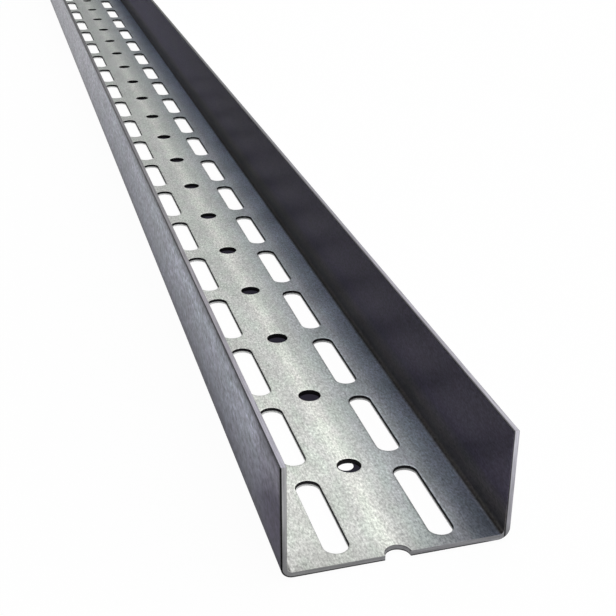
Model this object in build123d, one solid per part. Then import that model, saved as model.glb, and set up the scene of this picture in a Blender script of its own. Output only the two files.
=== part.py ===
from build123d import *
import os

# Reinforcing profile for drywall framing, such as the post beside a door opening.
# One strip of galvanised sheet steel: the web is punched with two rows of slots and a row
# of round holes on its centre line, and the strip is then folded into a U.
# Millimetres, +Z up. X runs along the profile, and Y runs across the web. The origin is on
# the underside of the web, at the middle of its length and width.

# Length and section. The width and the height are measured over the outside.
profile_length = 2600.0
web_width = 75.0
flange_height = 40.0
sheet_thickness = 2.0
inside_bend_radius = 2.0

# Punching of the web. The land is the steel left between two slots of a row.
punch_pitch = 50.0
hole_diameter = 8.4
slot_width = 8.4
slot_land = 10.0
slot_row_spacing = 35.0

# The punches in the first pitches from each end take the bolts of a connecting angle, and
# they have true arcs. The many like them in between have short flats for arcs, which keep
# the same length, width and corners on the arc, and lie at most 0.1 mm inside it.
bolted_pitches = 2
flats_around = 16

outside_bend_radius = inside_bend_radius + sheet_thickness
slot_length = punch_pitch - slot_land
pitch_count = int(profile_length // punch_pitch)
middle_pitches = pitch_count - 2 * bolted_pitches


def bolted_punches():
    """Slots and holes beside each end. The ends cut the outermost holes in half."""
    from_middle = (pitch_count - bolted_pitches) * punch_pitch / 2
    with BuildSketch(Plane.XY) as punches:
        with Locations((-from_middle, 0), (from_middle, 0)):
            with GridLocations(punch_pitch, slot_row_spacing, bolted_pitches, 2):
                SlotOverall(slot_length, slot_width)
            with GridLocations(punch_pitch, slot_row_spacing, bolted_pitches + 1, 1):
                Circle(hole_diameter / 2)
    return punches.sketch


def middle_punches():
    """The like slots and holes between the bolted ones. Slots lie midway between holes."""
    straight = slot_length - slot_width
    with BuildSketch(Plane.XY) as punches:
        with GridLocations(punch_pitch, slot_row_spacing, middle_pitches, 2):
            Rectangle(straight, slot_width)
            with GridLocations(straight, slot_width, 2, 1):
                RegularPolygon(slot_width / 2, flats_around)
        with GridLocations(punch_pitch, slot_row_spacing, middle_pitches - 1, 1):
            RegularPolygon(hole_diameter / 2, flats_around)
    return punches.sketch


def punched_web():
    """Flat of the web, from bend to bend, with all its punches."""
    with BuildSketch(Plane.XY) as web:
        Rectangle(profile_length, web_width - 2 * outside_bend_radius)
        add(bolted_punches(), mode=Mode.SUBTRACT)
        add(middle_punches(), mode=Mode.SUBTRACT)
    return web.sketch


def folded_sides():
    """Section of both sides: each is a quarter bend that turns up into a flange."""
    outer = web_width / 2
    inner = outer - sheet_thickness
    bend_start = outer - outside_bend_radius
    with BuildSketch(Plane.YZ) as sides:
        with BuildLine():
            outside = JernArc((bend_start, 0), (1, 0), outside_bend_radius, 90)
            inside = JernArc((bend_start, sheet_thickness), (1, 0), inside_bend_radius, 90)
            Polyline(outside @ 1, (outer, flange_height), (inner, flange_height), inside @ 1)
            Line(outside @ 0, inside @ 0)
        make_face()
        mirror(about=Plane.YZ)
    return sides.sketch


def slotted_channel():
    """The punched web and its folded sides, as one solid."""
    with BuildPart() as channel:
        extrude(punched_web(), amount=sheet_thickness)
        extrude(folded_sides(), amount=profile_length / 2, both=True)
    return channel.part


os.makedirs("parts", exist_ok=True)
export_step(slotted_channel(), "parts/slotted_channel.step")
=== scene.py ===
import math

import bmesh
import bpy
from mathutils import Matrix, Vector


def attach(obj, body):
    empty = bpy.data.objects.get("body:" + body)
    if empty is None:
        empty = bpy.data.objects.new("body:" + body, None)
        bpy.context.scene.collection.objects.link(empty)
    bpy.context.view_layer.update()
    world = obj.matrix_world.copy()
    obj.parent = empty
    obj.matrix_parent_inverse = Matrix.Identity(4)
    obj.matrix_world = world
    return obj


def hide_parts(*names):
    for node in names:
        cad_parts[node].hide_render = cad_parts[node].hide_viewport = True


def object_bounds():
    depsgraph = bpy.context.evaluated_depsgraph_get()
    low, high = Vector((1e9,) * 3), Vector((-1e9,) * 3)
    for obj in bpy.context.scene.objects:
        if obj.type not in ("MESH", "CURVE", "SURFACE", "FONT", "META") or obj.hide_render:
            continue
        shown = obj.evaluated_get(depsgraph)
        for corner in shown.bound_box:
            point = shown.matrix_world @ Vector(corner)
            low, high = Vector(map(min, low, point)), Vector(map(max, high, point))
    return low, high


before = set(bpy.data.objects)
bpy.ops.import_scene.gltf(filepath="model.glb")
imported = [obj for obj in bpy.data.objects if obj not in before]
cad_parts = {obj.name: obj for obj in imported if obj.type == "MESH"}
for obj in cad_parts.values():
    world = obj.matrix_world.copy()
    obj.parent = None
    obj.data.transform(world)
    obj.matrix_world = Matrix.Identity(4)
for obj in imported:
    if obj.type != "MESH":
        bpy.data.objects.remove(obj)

cad_low, cad_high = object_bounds()

# The profile is one strip of galvanised sheet steel. It is punched flat: a row of bolt slots
# runs along each side of the web, with a row of round holes between them, and the strip is
# sheared to length through a round hole, which leaves half of one in each end.
near_end = cad_low.x
far_end = cad_high.x
fold_face = cad_high.y
flange_top = cad_high.z
sheet = 0.002
inside_bend = 0.002
fold_start = fold_face - sheet - inside_bend
punch_pitch = 0.050
hole_radius = 0.0042
slot_half_width = 0.0042
slot_land = 0.010
slot_row = 0.0175

# Each opening is drawn with a ring of faces round it, a collar wide. Points that lie closer to
# each other than touching count as one.
sides_around = 32
collar = 0.001
touching = 0.00001

slot_stretch = punch_pitch - slot_land - 2 * slot_half_width
first_slot_arc = near_end + slot_land / 2 + slot_half_width
pitch_count = round((far_end - near_end) / punch_pitch)


def deselect():
    bpy.ops.object.select_all(action="DESELECT")


def pick(piece, kind, wanted):
    """Selects, in edit mode, only the verts or the edges for which wanted is true."""
    bpy.ops.mesh.select_mode(type=kind)
    bpy.ops.mesh.select_all(action="DESELECT")
    mesh = bmesh.from_edit_mesh(piece.data)
    for part in mesh.verts if kind == "VERT" else mesh.edges:
        if wanted(part):
            part.select_set(True)
    bmesh.update_edit_mesh(piece.data)


def middle(edge):
    return (edge.verts[0].co + edge.verts[1].co) / 2


def punched_ring(centre, radius, turn):
    """One ring of faces, a collar wide, around a punched arc."""
    bpy.ops.mesh.primitive_circle_add(
        vertices=sides_around, radius=radius, location=centre, rotation=(0, 0, turn))
    bpy.ops.mesh.extrude_edges_move(TRANSFORM_OT_translate={"value": (0, 0, 0)})
    grow = (radius + collar) / radius
    bpy.ops.transform.resize(value=(grow, grow, 1), center_override=centre)


deselect()
bpy.ops.mesh.primitive_circle_add(
    vertices=sides_around, radius=hole_radius, location=(near_end, 0, sheet))
channel = bpy.context.object
channel.name = "reinforcing_channel"
bpy.ops.object.transform_apply(location=True, rotation=False, scale=False)
bpy.ops.object.mode_set(mode="EDIT")
bpy.ops.mesh.select_all(action="SELECT")
bpy.ops.mesh.delete(type="VERT")

# Half a round hole lies at each end of a pitch. Their rings are whole at first, and the
# halves that lie outside the pitch are deleted.
for hole_x in (near_end, near_end + punch_pitch):
    punched_ring((hole_x, 0, sheet), hole_radius, 0)
pick(channel, "VERT", lambda v: v.co.x < near_end - touching
     or v.co.x > near_end + punch_pitch + touching)
bpy.ops.mesh.delete(type="VERT")

# A slot starts as a round ring with a flat facing each side. Half of the ring is then drawn
# along the strip, which gives it two straight sides.
half_facet = math.pi / sides_around
for slot_y in (slot_row, -slot_row):
    punched_ring((first_slot_arc, slot_y, sheet), slot_half_width / math.cos(half_facet), half_facet)
    reach = slot_half_width + 2 * collar
    pick(channel, "VERT", lambda v: v.co.x > first_slot_arc and abs(v.co.y - slot_y) < reach
         and v.co.x < first_slot_arc + reach)
    bpy.ops.transform.translate(value=(slot_stretch, 0, 0))

# The rest of the flat web is filled between the rings and the two lines where it is folded.
for side in (1, -1):
    pick(channel, "VERT", lambda v: abs(v.co.y - side * (hole_radius + collar)) < touching
         and (abs(v.co.x - near_end) < touching
              or abs(v.co.x - near_end - punch_pitch) < touching))
    across = side * (fold_start - hole_radius - collar)
    bpy.ops.mesh.extrude_vertices_move(TRANSFORM_OT_translate={"value": (0, across, 0)})
    bpy.ops.mesh.edge_face_add()


def clear_of_punches(point):
    """How far a point of the first pitch lies from the nearest punched wall."""
    along = point.x - near_end
    to_hole = math.hypot(min(along, punch_pitch - along), point.y) - hole_radius
    slot_along = min(max(point.x, first_slot_arc), first_slot_arc + slot_stretch)
    to_slot = math.hypot(point.x - slot_along, abs(point.y) - slot_row) - slot_half_width
    return min(to_hole, to_slot)


# The edges of the punched walls stay open. All others that border one face or none are filled.
beyond_walls = 0.75 * collar
pick(channel, "EDGE", lambda e: len(e.link_faces) < 2
     and clear_of_punches(middle(e)) > beyond_walls)
bpy.ops.mesh.fill(use_beauty=True)

# The strip is roll formed: its two sides are folded up round a two millimetre radius.
fold_steps = 8
rise = flange_top - sheet - inside_bend
for side in (1, -1):
    pick(channel, "EDGE", lambda e: abs(middle(e).y - side * fold_start) < touching
         and abs(e.verts[0].co.y - e.verts[1].co.y) < touching)
    bpy.ops.mesh.spin(
        steps=fold_steps, angle=math.radians(90),
        center=(near_end, side * fold_start, sheet + inside_bend), axis=(-side, 0, 0))
    bpy.ops.mesh.extrude_region_move(TRANSFORM_OT_translate={"value": (0, 0, rise)})
bpy.ops.object.mode_set(mode="OBJECT")

# The pitch is repeated to the far end of the strip, and each copy is welded to the one before.
row = channel.modifiers.new("punched row", "ARRAY")
row.count = pitch_count
row.use_relative_offset = False
row.use_constant_offset = True
row.constant_offset_displace = (punch_pitch, 0, 0)
row.use_merge_vertices = True
row.merge_threshold = touching
bpy.ops.object.modifier_apply(modifier=row.name)

# A line of edges close to each end and to the tops of the flanges keeps the wide faces beside
# them flat in the light.
edge_band = 0.0005
facing_up = 0.9
bpy.ops.object.mode_set(mode="EDIT")
for place, across in (
        ((near_end + edge_band, 0, 0), (1, 0, 0)),
        ((far_end - edge_band, 0, 0), (1, 0, 0)),
        ((0, 0, flange_top - edge_band), (0, 0, 1))):
    bpy.ops.mesh.select_all(action="SELECT")
    bpy.ops.mesh.bisect(plane_co=place, plane_no=across)
bpy.ops.mesh.select_all(action="SELECT")
bpy.ops.mesh.remove_doubles(threshold=touching)
bpy.ops.mesh.normals_make_consistent(inside=False)
web_face = next(f for f in bmesh.from_edit_mesh(channel.data).faces if abs(f.normal.z) > facing_up)
if web_face.normal.z < 0:
    bpy.ops.mesh.flip_normals()
bpy.ops.object.mode_set(mode="OBJECT")


def srgb(red, green, blue):
    """A colour as a screen shows it, 0 to 255, turned into the light that a shader works in."""
    def to_light(value):
        value = value / 255
        return value / 12.92 if value <= 0.04045 else ((value + 0.055) / 1.055) ** 2.4
    return (to_light(red), to_light(green), to_light(blue), 1)


def add_node(tree, kind, inputs=(), **settings):
    """Adds a node. An input is a value, or the output socket that feeds it."""
    node = tree.nodes.new(kind)
    for name, value in settings.items():
        setattr(node, name, value)
    for name, value in dict(inputs).items():
        if isinstance(value, bpy.types.NodeSocket):
            tree.links.new(value, node.inputs[name])
        else:
            node.inputs[name].default_value = value
    return node


def new_finish(name):
    """An empty material with a Principled shader, and the places on the piece."""
    material = bpy.data.materials.new(name)
    material.use_nodes = True
    tree = material.node_tree
    tree.nodes.clear()
    shader = add_node(tree, "ShaderNodeBsdfPrincipled")
    output = add_node(tree, "ShaderNodeOutputMaterial")
    tree.links.new(shader.outputs["BSDF"], output.inputs["Surface"])
    place = add_node(tree, "ShaderNodeTexCoord").outputs["Object"]
    return material, tree, shader, place


def stretched(tree, place, along, across, up):
    """The places scaled by axis. A pattern gets longer along an axis whose scale is small."""
    return add_node(
        tree, "ShaderNodeMapping", {"Vector": place, "Scale": (along, across, up)}).outputs["Vector"]


def noise(tree, place, size, detail, roughness):
    """Cloudy variation whose patches are about the given size across, in metres."""
    return add_node(tree, "ShaderNodeTexNoise", {
        "Vector": place, "Scale": 1 / size, "Detail": detail, "Roughness": roughness}).outputs["Fac"]


def spread(tree, value, low, high, to_low, to_high):
    """Takes low to to_low and high to to_high, with even steps between and no change beyond."""
    return add_node(tree, "ShaderNodeMapRange", {
        "Value": value, "From Min": low, "From Max": high, "To Min": to_low,
        "To Max": to_high}).outputs["Result"]


def swing(tree, value, share):
    """A noise, most of which lies between 0.3 and 0.7, made a factor that swings about 1."""
    return spread(tree, value, 0.3, 0.7, 1 - share, 1 + share)


def maths(tree, operation, first, second):
    return add_node(
        tree, "ShaderNodeMath", {0: first, 1: second}, operation=operation).outputs[0]


def axes(tree, place):
    """The X, Y and Z of a place, each as a socket."""
    return add_node(tree, "ShaderNodeSeparateXYZ", {"Vector": place}).outputs


def ramp(tree, value, stops):
    """A colour ramp from a list of (place, colour), with soft changes between them."""
    node = add_node(tree, "ShaderNodeValToRGB", {"Fac": value})
    node.color_ramp.interpolation = "EASE"
    while len(node.color_ramp.elements) < len(stops):
        node.color_ramp.elements.new(0.5)
    for element, (place, colour) in zip(node.color_ramp.elements, stops):
        element.position = place
        element.color = colour
    return node.outputs["Color"]


def blend_colours(tree, kind, amount, first, second):
    """Two colours put together. A Mix node has them as inputs 6 and 7, and gives output 2."""
    node = add_node(tree, "ShaderNodeMix", data_type="RGBA", blend_type=kind)
    for socket, value in ((node.inputs[0], amount), (node.inputs[6], first), (node.inputs[7], second)):
        if isinstance(value, bpy.types.NodeSocket):
            tree.links.new(value, socket)
        else:
            socket.default_value = value
    return node.outputs[2]


def grey(tree, value):
    """A plain number made a colour, to darken or lighten another colour with it."""
    return add_node(tree, "ShaderNodeCombineColor", {
        "Red": value, "Green": value, "Blue": value}).outputs["Color"]


def zinc_skin(name, colour, edge_shine, grain_size, grain_length, grain_share, streak_share):
    """Hot dip zinc: fine crystals, cloudy patches, and streaks along the strip from rolling."""
    material, tree, shader, place = new_finish(name)
    crystal_size = 0.0012
    cloud_size = 0.014
    streak_width = 0.0025
    bloom_size = 0.005
    crystal_share = 0.08
    cloud_share = 0.1
    polished = 0.37
    dull = 0.43
    crystals = add_node(tree, "ShaderNodeTexVoronoi", {
        "Vector": place, "Scale": 1 / crystal_size}, feature="F1")
    crystal_tone = add_node(
        tree, "ShaderNodeSeparateColor", {"Color": crystals.outputs["Color"]}).outputs["Red"]
    grain = noise(
        tree, stretched(tree, place, 1 / grain_length, 1, 1), grain_size, detail=5.0, roughness=0.75)
    clouds = noise(tree, stretched(tree, place, 0.6, 1, 1), cloud_size, detail=3.0, roughness=0.6)
    streaks = noise(
        tree, stretched(tree, place, 0.05, 1, 1), streak_width, detail=2.0, roughness=0.6)
    tone = spread(tree, crystal_tone, 0, 1, 1 - crystal_share, 1 + crystal_share)
    tone = maths(tree, "MULTIPLY", tone, swing(tree, grain, grain_share))
    tone = maths(tree, "MULTIPLY", tone, swing(tree, clouds, cloud_share))
    tone = maths(tree, "MULTIPLY", tone, swing(tree, streaks, streak_share))

    # Thin oxide tints the zinc green in some patches and violet in others.
    blooms = noise(tree, stretched(tree, place, 0.4, 1, 1), bloom_size, detail=2.0, roughness=0.5)
    oxide = ramp(tree, spread(tree, blooms, 0.35, 0.65, 0, 1), [
        (0.0, (0.975, 1, 0.985, 1)),
        (1.0, (1, 0.98, 1, 1))])
    tinted = blend_colours(tree, "MULTIPLY", 1.0, colour(tree, place), oxide)
    tree.links.new(
        blend_colours(tree, "MULTIPLY", 1.0, tinted, grey(tree, tone)), shader.inputs["Base Color"])
    shader.inputs["Metallic"].default_value = 0.8
    shader.inputs["Specular Tint"].default_value = (edge_shine, edge_shine, edge_shine, 1)
    tree.links.new(spread(tree, clouds, 0.3, 0.7, polished, dull), shader.inputs["Roughness"])
    relief = add_node(tree, "ShaderNodeBump", {
        "Height": clouds, "Strength": 0.1, "Distance": 0.0001})
    tree.links.new(relief.outputs["Normal"], shader.inputs["Normal"])
    return material


def inside_colour(tree, place):
    """The web is bright, with a painted highlight along its middle. Painted shade makes the right
    flange dark.
    """
    toned_length = 0.8
    toned_half_width = 0.035
    spot = axes(tree, place)
    # Painted highlight along the middle of the web, and a bluer painted reflection of the right flange
    # beside the right fold.
    across = ramp(tree, spread(tree, spot["Y"], -toned_half_width, toned_half_width, 0, 1), [
        (0.02, srgb(175, 184, 204)),
        (0.09, srgb(178, 187, 202)),
        (0.165, srgb(194, 199, 206)),
        (0.26, srgb(180, 185, 187)),
        (0.35, srgb(188, 193, 193)),
        (0.42, srgb(197, 201, 197)),
        (0.52, srgb(225, 227, 220)),
        (0.6, srgb(203, 206, 201)),
        (0.75, srgb(199, 202, 196)),
        (1.0, srgb(203, 205, 200))])
    along = spread(tree, spot["X"], near_end, near_end + toned_length, 0, 1)
    # Darker in a narrow band at the near end, and painted shade that darkens the web towards the far
    # end.
    end_band_and_far_shade = ramp(tree, along, [
        (0.0, (0.74, 0.74, 0.74, 1)),
        (0.02, (0.94, 0.94, 0.94, 1)),
        (0.06, (1, 1, 1, 1)),
        (0.3, (0.95, 0.95, 0.96, 1)),
        (1.0, (0.77, 0.78, 0.8, 1))])
    web = blend_colours(tree, "MULTIPLY", 1.0, across, end_band_and_far_shade)

    # Away from the near end, painted light brightens the web beside the right fold.
    painted_light_start = -0.025
    painted_light_full = -0.033
    added_painted_light = 0.45
    painted_light_by_fold = maths(
        tree, "MULTIPLY", spread(tree, spot["Y"], painted_light_start, painted_light_full, 0, added_painted_light),
        spread(tree, spot["X"], near_end + 0.03, near_end + 0.25, 0, 1))
    web = blend_colours(tree, "MULTIPLY", 1.0, web, grey(tree, maths(tree, "ADD", painted_light_by_fold, 1)))

    # Painted shade makes the right flange dark: violet above, browner at its foot and darkest in the
    # crease.
    crease_top = 0.0042
    crease_dark = 0.6
    foot_top = 0.009
    violet_from = 0.015
    high = ramp(tree, along, [
        (0.0, srgb(86, 80, 99)),
        (0.4, srgb(85, 79, 99)),
        (1.0, srgb(130, 123, 151))])
    low = ramp(tree, along, [
        (0.0, srgb(112, 107, 108)),
        (0.42, srgb(104, 101, 99)),
        (1.0, srgb(124, 121, 126))])
    flange = blend_colours(
        tree, "MIX", spread(tree, spot["Z"], foot_top, violet_from, 0, 1), low, high)
    crease_shade = grey(tree, spread(tree, spot["Z"], sheet, crease_top, crease_dark, 1))
    flange = blend_colours(tree, "MULTIPLY", 1.0, flange, crease_shade)

    # The web's colours change to the flange's within the fold.
    web_stops = -0.0336
    flange_starts = -0.0346
    return blend_colours(
        tree, "MIX", spread(tree, spot["Y"], web_stops, flange_starts, 0, 1), web, flange)


def outside_colour(tree, place):
    """Blue grey, with painted shade: darker low down, paler towards the slit edge. The left flange has
    a dark near end of painted shade.
    """
    toned_length = 0.72
    right_start = 0.2
    left_y = 0.03
    spot = axes(tree, place)

    # The right flange starts further along the same tones, so it has no dark end.
    along = maths(
        tree, "MAXIMUM", spread(tree, spot["X"], near_end, near_end + toned_length, 0, 1),
        spread(tree, spot["Y"], left_y, -left_y, 0, right_start))
    # Painted shade: darker at the near end, lighter along the strip.
    upper = ramp(tree, along, [
        (0.0, srgb(140, 137, 152)),
        (0.07, srgb(196, 200, 213)),
        (0.37, srgb(204, 207, 218)),
        (1.0, srgb(229, 229, 238))])
    lower = ramp(tree, along, [
        (0.0, srgb(82, 76, 98)),
        (0.08, srgb(106, 106, 122)),
        (0.37, srgb(148, 150, 163)),
        (1.0, srgb(206, 207, 215))])

    # The paler upper part starts higher up by the near end, where climb is large.
    lower_z = 0.003
    upper_z = 0.033
    climb = ramp(tree, along, [
        (0.0, (0.75, 0.75, 0.75, 1)),
        (0.06, (0.1, 0.1, 0.1, 1))])
    height = maths(tree, "SUBTRACT", spread(tree, spot["Z"], lower_z, upper_z, 0, 1), climb)
    share = maths(tree, "DIVIDE", height, maths(tree, "SUBTRACT", 1.0, climb))
    body = blend_colours(tree, "MIX", share, lower, upper)

    # Painted shade darkens the bend, a line under the slit edge and a line by the sheared end. For a
    # third of a metre the painted shade under the slit edge reaches further down too, but not at the
    # end itself.
    bend_low = 0.0018
    bend_high = 0.008
    bend_dark = 0.42
    foot = spread(tree, spot["Z"], bend_low, bend_high, bend_dark, 1)
    border_start = flange_top - 0.0024
    border_full = flange_top - 0.0007
    border_dark = 0.45
    border = spread(tree, spot["Z"], border_start, border_full, 1, border_dark)
    low_shade_start = flange_top - 0.0055
    low_shade_full = flange_top - 0.003
    low_shade_share = 0.76
    unshaded = maths(
        tree, "MAXIMUM", spread(tree, spot["X"], near_end + 0.005, near_end + 0.02, 1, 0),
        spread(tree, spot["X"], near_end + 0.15, near_end + 0.4, 0, 1))
    low_shade = maths(
        tree, "MAXIMUM", spread(tree, spot["Z"], low_shade_start, low_shade_full, 1, low_shade_share), unshaded)
    border = maths(tree, "MULTIPLY", border, low_shade)
    sheared_dark = 0.4
    sheared = spread(
        tree, spot["X"], near_end + 0.0008, near_end + 0.0016, sheared_dark, 1)
    dark = maths(tree, "MULTIPLY", foot, maths(tree, "MULTIPLY", border, sheared))
    return blend_colours(tree, "MULTIPLY", 1.0, body, grey(tree, dark))


channel.data.materials.append(zinc_skin(
    "inside_zinc", inside_colour, edge_shine=0.65,
    grain_size=0.0007, grain_length=2.2, grain_share=0.5, streak_share=0.03))
channel.data.materials.append(zinc_skin(
    "outside_zinc", outside_colour, edge_shine=0.4,
    grain_size=0.002, grain_length=1.5, grain_share=0.65, streak_share=0.06))


# Shearing and punching cut through the zinc and leave bare steel, torn and dull, on the walls
# of the openings and on the ends. The long edges were slit first and have some zinc on them.
def bare_steel(name, colour, metallic, roughness, shine):
    """Steel torn by a blade, with fine lines that run along the sheet."""
    tear_size = 0.0005
    line_width = 0.0007
    tear_share = 0.1
    line_share = 0.25
    uneven = 0.06
    material, tree, shader, place = new_finish(name)
    tears = noise(tree, stretched(tree, place, 1, 1, 0.25), tear_size, detail=3.0, roughness=0.6)
    up_lines = noise(
        tree, stretched(tree, place, 0.05, 1, 0.05), line_width, detail=2.0, roughness=0.6)
    web_lines = noise(
        tree, stretched(tree, place, 1, 0.05, 1), line_width, detail=2.0, roughness=0.6)
    side = maths(tree, "ABSOLUTE", axes(tree, place)["Y"], 0)
    lines = blend_colours(
        tree, "MIX", spread(tree, side, fold_start, fold_start + sheet, 0, 1),
        grey(tree, web_lines), grey(tree, up_lines))
    tone = maths(tree, "MULTIPLY", swing(tree, tears, tear_share), swing(tree, lines, line_share))
    toned = blend_colours(tree, "MULTIPLY", 1.0, colour(tree, place), grey(tree, tone))
    tree.links.new(toned, shader.inputs["Base Color"])
    shader.inputs["Metallic"].default_value = metallic
    shader.inputs["Specular IOR Level"].default_value = shine
    rough = spread(tree, tears, 0.3, 0.7, roughness - uneven, roughness + uneven)
    tree.links.new(rough, shader.inputs["Roughness"])
    relief = add_node(tree, "ShaderNodeBump", {"Height": tears, "Strength": 0.3, "Distance": 0.00005})
    tree.links.new(relief.outputs["Normal"], shader.inputs["Normal"])
    return material


def left_border_shadow(tree, spot, left_width, right_width, darkness):
    """Painted shadow of the blade's burr: a dark line along the left border of a flange's cut end or
    slit edge.
    """
    dark_core = 0.4
    dark_reach = 0.7
    line = 1.0
    for border, width in ((fold_face, left_width), (sheet - fold_face, right_width)):
        centre = border - width / 2
        away = maths(tree, "ABSOLUTE", maths(tree, "SUBTRACT", spot["Y"], centre), 0)
        near = spread(tree, away, width * dark_core, width * dark_reach, darkness, 1)
        line = maths(tree, "MULTIPLY", near, line)
    return line


def foot_burr_shadow(tree, spot, darkness):
    """Painted shadow of the burr round the outside of the end, under the web and round the left bend.
    """
    outside_bend = sheet + inside_bend
    burr_shadow_width = 0.0006
    burr_shadow_core = 0.0004
    fade_start = -0.028
    fade_end = -0.032
    side = maths(tree, "SUBTRACT", maths(tree, "ABSOLUTE", spot["Y"], 0), fold_start)
    under = maths(tree, "SUBTRACT", outside_bend, spot["Z"])
    from_centre = add_node(tree, "ShaderNodeCombineXYZ", {
        "X": maths(tree, "MAXIMUM", side, 0),
        "Y": maths(tree, "MAXIMUM", under, 0)}).outputs["Vector"]
    reach = add_node(
        tree, "ShaderNodeVectorMath", {0: from_centre}, operation="LENGTH").outputs["Value"]
    line = spread(tree, reach, outside_bend - burr_shadow_width, outside_bend - burr_shadow_core, 1, darkness)
    return maths(tree, "MAXIMUM", line, spread(tree, spot["Y"], fade_start, fade_end, 0, 1))


def across_web(tree, spot, left, right):
    """One colour on the left flange and another on the right, with a slow change between."""
    left_y = 0.02
    return blend_colours(tree, "MIX", spread(tree, spot["Y"], left_y, -left_y, 0, 1), left, right)


def cut_colour(tree, place):
    """Painted light and shade: the end of the web is darker than the ends of the flanges, which get
    paler upwards.
    """
    spot = axes(tree, place)
    up = spread(tree, spot["Z"], sheet, flange_top, 0, 1)
    left = ramp(tree, up, [
        (0.0, srgb(129, 129, 130)),
        (0.12, srgb(138, 138, 139)),
        (1.0, srgb(172, 172, 174))])
    right = ramp(tree, up, [
        (0.0, srgb(134, 134, 137)),
        (0.12, srgb(152, 151, 157)),
        (1.0, srgb(196, 195, 203))])
    body = across_web(tree, spot, left, right)
    burr_shadow = maths(
        tree, "MULTIPLY", foot_burr_shadow(tree, spot, darkness=0.15),
        left_border_shadow(tree, spot, left_width=0.0005, right_width=0.0005, darkness=0.12))
    return blend_colours(tree, "MULTIPLY", 1.0, body, grey(tree, burr_shadow))


def slit_colour(tree, place):
    """Painted shade: the slit edges are pale by the near end and darken along the strip."""
    toned_length = 0.7
    spot = axes(tree, place)
    along = spread(tree, spot["X"], near_end, near_end + toned_length, 0, 1)
    left = ramp(tree, along, [
        (0.0, srgb(168, 166, 176)),
        (0.16, srgb(154, 151, 158)),
        (0.3, srgb(139, 137, 141)),
        (0.5, srgb(115, 113, 118)),
        (1.0, srgb(62, 62, 66))])
    right = ramp(tree, along, [
        (0.0, srgb(147, 145, 152)),
        (0.16, srgb(151, 148, 156)),
        (0.3, srgb(138, 136, 143)),
        (0.5, srgb(108, 107, 112)),
        (1.0, srgb(34, 34, 38))])
    body = across_web(tree, spot, left, right)
    burr_shadow = left_border_shadow(tree, spot, left_width=0.0004, right_width=0.0006, darkness=0.15)
    return blend_colours(tree, "MULTIPLY", 1.0, body, grey(tree, burr_shadow))


def punched_colour(tree, place):
    """Near black, painted shade on the punched walls. In the slots the torn foot of the wall is pale,
    with painted light.
    """
    torn_top = 0.0006
    shade_from = 0.0009
    holes_side = 0.009
    slots_side = 0.01
    spot = axes(tree, place)
    foot = spread(tree, spot["Z"], torn_top, shade_from, 1, 0)
    slots = spread(tree, maths(tree, "ABSOLUTE", spot["Y"], 0), holes_side, slots_side, 0, 1)
    return blend_colours(
        tree, "MIX", maths(tree, "MULTIPLY", foot, slots), srgb(28, 27, 30), srgb(230, 231, 230))


channel.data.materials.append(
    bare_steel("punched_wall", punched_colour, metallic=0, roughness=0.7, shine=0.1))
channel.data.materials.append(
    bare_steel("cut_end", cut_colour, metallic=1, roughness=0.5, shine=0.5))
channel.data.materials.append(
    bare_steel("slit_edge", slit_colour, metallic=1, roughness=0.4, shine=0.5))

# The shell so far is the inside face. The sheet's thickness goes outwards from it, with the
# outside's own zinc and with bare walls. The numbers are the places in the list of materials.
OUTSIDE, PUNCHED, CUT, SLIT = 1, 2, 3, 4
wall = channel.modifiers.new("sheet thickness", "SOLIDIFY")
wall.thickness = sheet
wall.offset = -1
wall.use_even_offset = True
wall.material_offset = OUTSIDE
wall.material_offset_rim = PUNCHED
bpy.ops.object.modifier_apply(modifier=wall.name)

# The punch draws the sheet down a little round each opening, and shearing leaves finer edges.
punch_rounding = 0.00025
edge_break = 0.0001
sharp = math.radians(60)
smooth_below = math.radians(35)


def is_rim(edge):
    """A punched edge on the inside face of the web, where the punch went in."""
    levels = [abs(v.co.z - sheet) < touching for v in edge.verts]
    inside_web = abs(middle(edge).y) < slot_row + slot_half_width + collar
    return all(levels) and inside_web and edge.calc_face_angle(0) > sharp


bpy.ops.object.mode_set(mode="EDIT")
pick(channel, "EDGE", lambda e: is_rim(e)
     and abs(abs(middle(e).x) - far_end) > touching)
bpy.ops.mesh.bevel(offset=punch_rounding, segments=3, clamp_overlap=False)
pick(channel, "EDGE", lambda e: e.calc_face_angle(0) > sharp)
bpy.ops.mesh.bevel(offset=edge_break, segments=1, clamp_overlap=False)
bpy.ops.object.mode_set(mode="OBJECT")

# All bare walls are of the punched kind at first. Those on the ends, in the half holes there
# and along the tops of the flanges get their own.
facing_end = 0.6
for face in channel.data.polygons:
    from_end = min(face.center.x - near_end, far_end - face.center.x)
    if face.material_index != PUNCHED:
        continue
    if abs(face.normal.x) > facing_end and from_end < edge_band / 2:
        face.material_index = CUT
    elif from_end < hole_radius and abs(face.center.y) < hole_radius:
        face.material_index = CUT
    elif face.center.z > flange_top - edge_band / 2:
        face.material_index = SLIT

deselect()
channel.select_set(True)
bpy.context.view_layer.objects.active = channel
bpy.ops.object.shade_smooth_by_angle(angle=smooth_below)

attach(channel, "root")
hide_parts("slotted_channel")

# The piece lies on a plain white floor, with its web down, as long stock is stored.
floor_gap = 0.0005
floor_size = 90
bpy.ops.mesh.primitive_plane_add(size=floor_size, location=(0, 0, -floor_gap))
floor = bpy.context.object
floor.name = "studio_floor"


def seen_white(tree):
    """1 for what the camera sees, also by reflection and through glass, else 0."""
    rays = add_node(tree, "ShaderNodeLightPath").outputs
    seen = maths(tree, "MAXIMUM", rays["Is Camera Ray"], rays["Is Glossy Ray"])
    return maths(tree, "MAXIMUM", seen, rays["Is Transmission Ray"])


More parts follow.
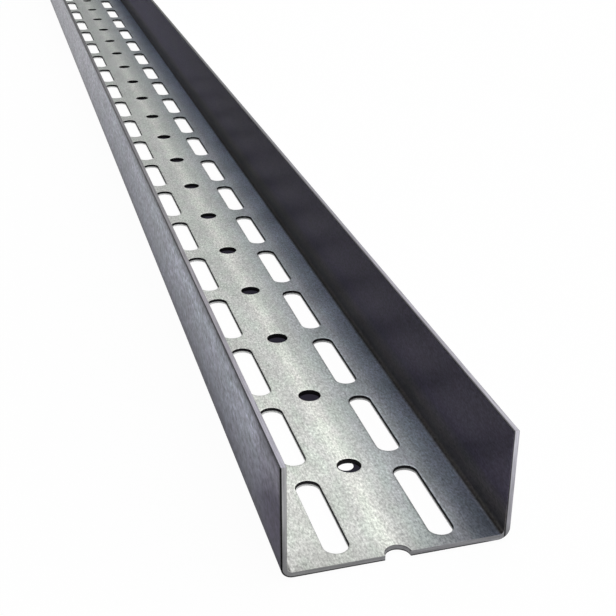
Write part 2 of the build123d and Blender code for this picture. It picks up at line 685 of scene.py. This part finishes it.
floor_glow = 0.97
floor_paint = 0.9
paint = bpy.data.materials.new("white_floor")
paint.use_nodes = True
paint_tree = paint.node_tree
paint_tree.nodes.clear()
white = add_node(paint_tree, "ShaderNodeEmission", {"Color": (1, 1, 1, 1), "Strength": 1.0})
matt = add_node(paint_tree, "ShaderNodeBsdfDiffuse", {
    "Color": (floor_paint, floor_paint, floor_paint, 1)})
floor_look = add_node(paint_tree, "ShaderNodeMixShader", {
    0: maths(paint_tree, "MULTIPLY", seen_white(paint_tree), floor_glow),
    1: matt.outputs["BSDF"], 2: white.outputs["Emission"]})
add_node(paint_tree, "ShaderNodeOutputMaterial", {"Surface": floor_look.outputs["Shader"]})
floor.data.materials.append(paint)

# The round holes look dark in the photograph, and the slots white. A dark strip lies under the
# middle of the web for this, from the first whole hole on, where a round spot of it is white.
strip_half_width = 0.008
strip_margin = 0.0003
strip_start = near_end + punch_pitch - hole_radius - strip_margin
strip_end = far_end - punch_pitch / 2
spot_place = (near_end + 0.0529, 0.0003, -floor_gap / 4)
spot_radius = 0.0028


def glowing(name, colour):
    """A plain emitting colour, the same from all sides."""
    material = bpy.data.materials.new(name)
    material.use_nodes = True
    material.node_tree.nodes.clear()
    glow = add_node(material.node_tree, "ShaderNodeEmission", {"Color": colour, "Strength": 1.0})
    add_node(material.node_tree, "ShaderNodeOutputMaterial", {"Surface": glow.outputs["Emission"]})
    return material


# The strip is painted shade: a dark sheet that glows, put under the web where there is only shade.
bpy.ops.mesh.primitive_plane_add(size=1, location=(0, 0, 0))
strip = bpy.context.object
strip.name = "painted_shade_strip"
strip.scale = (strip_end - strip_start, 2 * strip_half_width, 1)
strip.location = ((strip_start + strip_end) / 2, 0, -floor_gap / 2)
bpy.ops.object.transform_apply(location=True, rotation=False, scale=True)
strip.data.materials.append(glowing("painted_shade_strip", srgb(43, 41, 50)))

# The spot is painted light: a white disc that glows, under the first whole hole.
bpy.ops.mesh.primitive_circle_add(
    vertices=32, radius=spot_radius, fill_type="NGON", location=spot_place)
painted_light_spot = bpy.context.object
painted_light_spot.name = "painted_light_spot"
bpy.ops.object.transform_apply(location=True, rotation=False, scale=False)
painted_light_spot.data.materials.append(glowing("painted_light_spot", srgb(255, 255, 255)))

# A dull black card stands along the left side of the room and takes the light off the outside
# of the left flange and the inside of the right one. The camera can't see it.
card_length = 80
card_height = 30
card_turn = math.radians(-4)
card_place = (15, 0.4, card_height / 2)
bpy.ops.mesh.primitive_plane_add(size=1, location=(0, 0, 0))
card = bpy.context.object
card.name = "left_card"
card.scale = (card_length, card_height, 1)
card.rotation_euler = (math.radians(90), 0, card_turn)
card.location = card_place
bpy.ops.object.transform_apply(location=True, rotation=True, scale=True)
black = bpy.data.materials.new("left_card")
black.use_nodes = True
black_shader = black.node_tree.nodes["Principled BSDF"]
black_shader.inputs["Base Color"].default_value = (0.01, 0.01, 0.012, 1)
black_shader.inputs["Specular IOR Level"].default_value = 0
card.data.materials.append(black)
card.visible_camera = False

# The room is plain white all round.
world = bpy.data.worlds.new("studio")
bpy.context.scene.world = world
world.use_nodes = True
room = world.node_tree.nodes["Background"]
room.inputs["Color"].default_value = (1, 1, 1, 1)
room.inputs["Strength"].default_value = 1.0


# Two large soft lamps, one from behind on the right and one over the near half.
def soft_lamp(name, place, aim, size, power):
    bpy.ops.object.light_add(type="AREA", location=place)
    lamp = bpy.context.object
    lamp.name = name
    lamp.data.size = size
    lamp.data.energy = power
    lamp.rotation_euler = (Vector(aim) - Vector(place)).to_track_quat("-Z", "Y").to_euler()


soft_lamp("back_right_lamp", place=(1.0, -2.0, 2.5), aim=(-0.6, 0, 0), size=2.5, power=15)
soft_lamp("overhead_lamp", place=(-0.7, 0, 3), aim=(-0.7, 0, 0), size=3, power=42)

# The camera stands where the photograph was taken from, by the near end and over its left.
bpy.ops.object.camera_add(
    location=(-1.55739, 0.10286, 0.21911),
    rotation=(math.radians(64.222), math.radians(-0.175), math.radians(-105.865)))
camera = bpy.context.object
camera.data.sensor_width = 36
camera.data.lens = 64.88
camera.data.clip_end = 200
bpy.context.scene.camera = camera
bpy.context.scene.view_settings.view_transform = "Standard"
